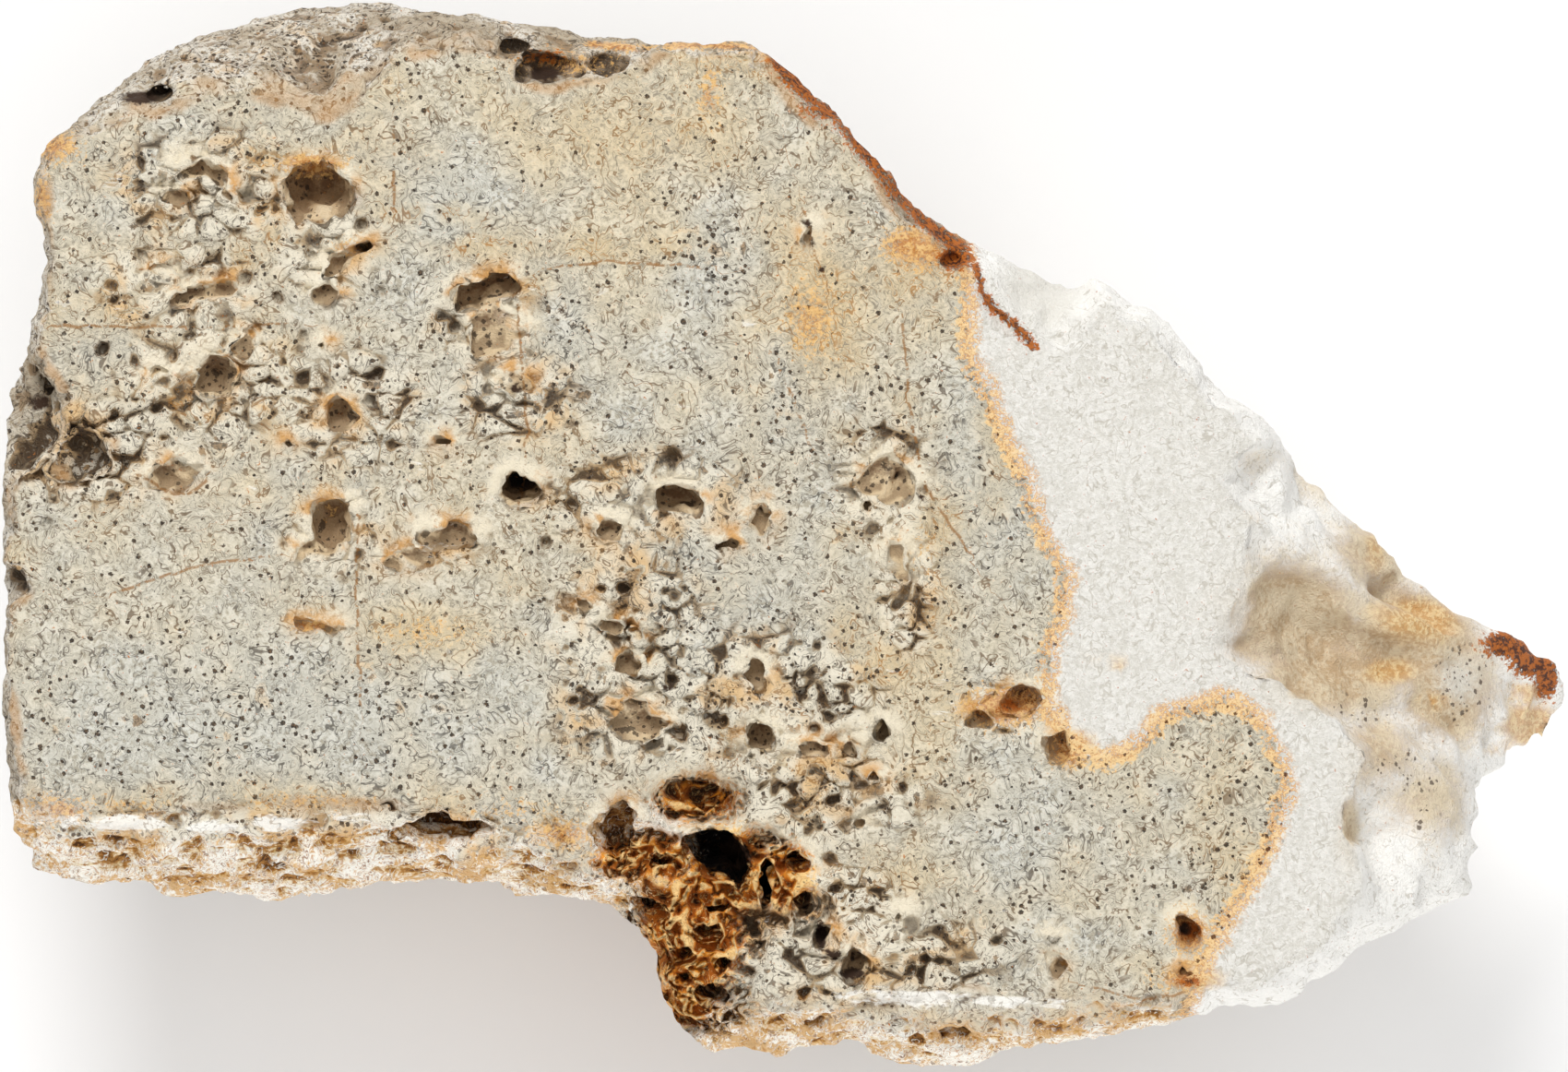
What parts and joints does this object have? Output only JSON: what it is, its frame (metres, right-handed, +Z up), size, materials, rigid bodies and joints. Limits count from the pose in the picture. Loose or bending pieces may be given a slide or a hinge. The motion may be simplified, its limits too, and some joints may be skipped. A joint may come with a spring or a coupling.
{
  "type": "limestone chunk",
  "caption": "Rough chunk of porous grey-beige limestone with white calcite at one end and a flat sawn face, for display, teaching or natural scenes.",
  "frame": {"origin": "middle of the underside of the bounding box, on the plane that the stone rests on", "axes": "+X along the longest side, towards the calcite end; +Z up out of the sawn face, along the shortest side"},
  "size_m": [0.15, 0.1024, 0.051],
  "materials": {
    "stone": "matt, porous, with glossier white calcite at one end"
  },
  "bodies": {
    "root": {"limestone_chunk": "stone"}
  },
  "joints": []
}
